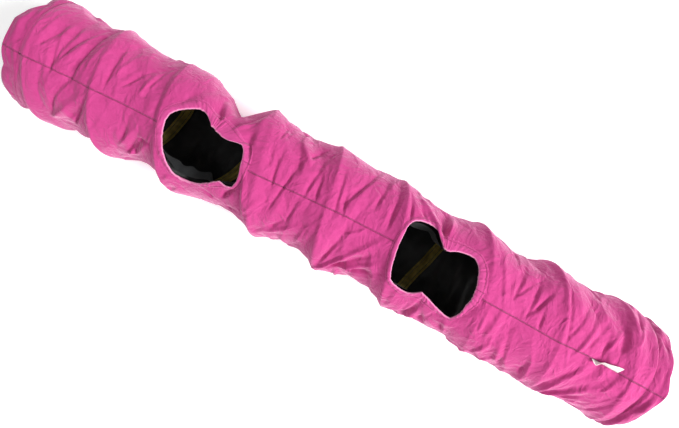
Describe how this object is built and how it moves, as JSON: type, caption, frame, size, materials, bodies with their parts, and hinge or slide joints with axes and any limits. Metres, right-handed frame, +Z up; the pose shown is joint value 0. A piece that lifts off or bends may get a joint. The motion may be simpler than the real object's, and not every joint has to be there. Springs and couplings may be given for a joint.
{
  "type": "agility tunnel",
  "caption": "Collapsible round fabric play tunnel for small pets, held open by a sewn-in spring wire, with a hooped hem at each mouth and bound round windows in its top.",
  "frame": {"origin": "on the floor, under the middle of the open tunnel", "axes": "+X along the tunnel towards the mouth with the label, +Y across it, +Z up through the windows"},
  "size_m": [1.44, 0.26, 0.2693],
  "materials": {
    "suede": "matte",
    "lining": "satin",
    "webbing": "matte",
    "label": "matte",
    "steel": "satin"
  },
  "bodies": {
    "left_end": {"left_cuff": "suede", "left_hoop": "steel", "left_ferrule": "steel", "left_spring_lead": "steel"},
    "bay_1": {"cover_bay_1": "suede", "lining_bay_1": "lining", "spring_turn_1": "steel", "spring_tape_1": "webbing"},
    "bay_2": {"cover_bay_2": "suede", "lining_bay_2": "lining", "spring_turn_2": "steel", "spring_tape_2": "webbing"},
    "bay_3": {"cover_bay_3": "suede", "lining_bay_3": "lining", "spring_turn_3": "steel", "spring_tape_3": "webbing", "window_binding_1": "suede"},
    "bay_4": {"cover_bay_4": "suede", "lining_bay_4": "lining", "spring_turn_4": "steel", "spring_tape_4": "webbing"},
    "bay_5": {"cover_bay_5": "suede", "lining_bay_5": "lining", "spring_turn_5": "steel", "spring_tape_5": "webbing"},
    "bay_6": {"cover_bay_6": "suede", "lining_bay_6": "lining", "spring_turn_6": "steel", "spring_tape_6": "webbing", "window_binding_2": "suede"},
    "bay_7": {"cover_bay_7": "suede", "lining_bay_7": "lining", "spring_turn_7": "steel", "spring_tape_7": "webbing"},
    "bay_8": {"cover_bay_8": "suede", "lining_bay_8": "lining", "spring_turn_8": "steel", "spring_tape_8": "webbing", "label": "label"},
    "right_end": {"right_cuff": "suede", "right_hoop": "steel", "right_ferrule": "steel", "right_spring_lead": "steel"}
  },
  "joints": [
    {"name": "collapse", "type": "slide", "parent": "left_end", "child": "right_end", "axis": [1, 0, 0], "range_m": [-1.326, 0], "stiffness_N_per_m": 5, "springref_m": 0.1, "deforming": ["left_spring_lead", "right_spring_lead"]},
    {"name": "bay_1_fold", "type": "slide", "parent": "left_end", "child": "bay_1", "axis": [1, 0, 0], "range_m": [-0.07709, 0], "deforming": ["cover_bay_1", "lining_bay_1", "spring_turn_1", "spring_tape_1"]},
    {"name": "bay_2_fold", "type": "slide", "parent": "left_end", "child": "bay_2", "axis": [1, 0, 0], "range_m": [-0.22309, 0], "deforming": ["cover_bay_2", "lining_bay_2", "spring_turn_2", "spring_tape_2"]},
    {"name": "bay_3_fold", "type": "slide", "parent": "left_end", "child": "bay_3", "axis": [1, 0, 0], "range_m": [-0.39606, 0], "deforming": ["cover_bay_3", "lining_bay_3", "spring_turn_3", "spring_tape_3", "window_binding_1"]},
    {"name": "bay_4_fold", "type": "slide", "parent": "left_end", "child": "bay_4", "axis": [1, 0, 0], "range_m": [-0.57145, 0], "deforming": ["cover_bay_4", "lining_bay_4", "spring_turn_4", "spring_tape_4"]},
    {"name": "bay_5_fold", "type": "slide", "parent": "left_end", "child": "bay_5", "axis": [1, 0, 0], "range_m": [-0.71648, 0], "deforming": ["cover_bay_5", "lining_bay_5", "spring_turn_5", "spring_tape_5"]},
    {"name": "bay_6_fold", "type": "slide", "parent": "left_end", "child": "bay_6", "axis": [1, 0, 0], "range_m": [-0.88561, 0], "deforming": ["cover_bay_6", "lining_bay_6", "spring_turn_6", "spring_tape_6", "window_binding_2"]},
    {"name": "bay_7_fold", "type": "slide", "parent": "left_end", "child": "bay_7", "axis": [1, 0, 0], "range_m": [-1.05955, 0], "deforming": ["cover_bay_7", "lining_bay_7", "spring_turn_7", "spring_tape_7"]},
    {"name": "bay_8_fold", "type": "slide", "parent": "left_end", "child": "bay_8", "axis": [1, 0, 0], "range_m": [-1.23204, 0], "deforming": ["cover_bay_8", "lining_bay_8", "spring_turn_8", "spring_tape_8", "label"]}
  ],
  "couplings": [
    {"joint": "bay_1_fold", "follows": "collapse", "ratio": 0.05814},
    {"joint": "bay_2_fold", "follows": "collapse", "ratio": 0.16824},
    {"joint": "bay_3_fold", "follows": "collapse", "ratio": 0.29869},
    {"joint": "bay_4_fold", "follows": "collapse", "ratio": 0.43096},
    {"joint": "bay_5_fold", "follows": "collapse", "ratio": 0.54033},
    {"joint": "bay_6_fold", "follows": "collapse", "ratio": 0.66788},
    {"joint": "bay_7_fold", "follows": "collapse", "ratio": 0.79906},
    {"joint": "bay_8_fold", "follows": "collapse", "ratio": 0.92914}
  ]
}
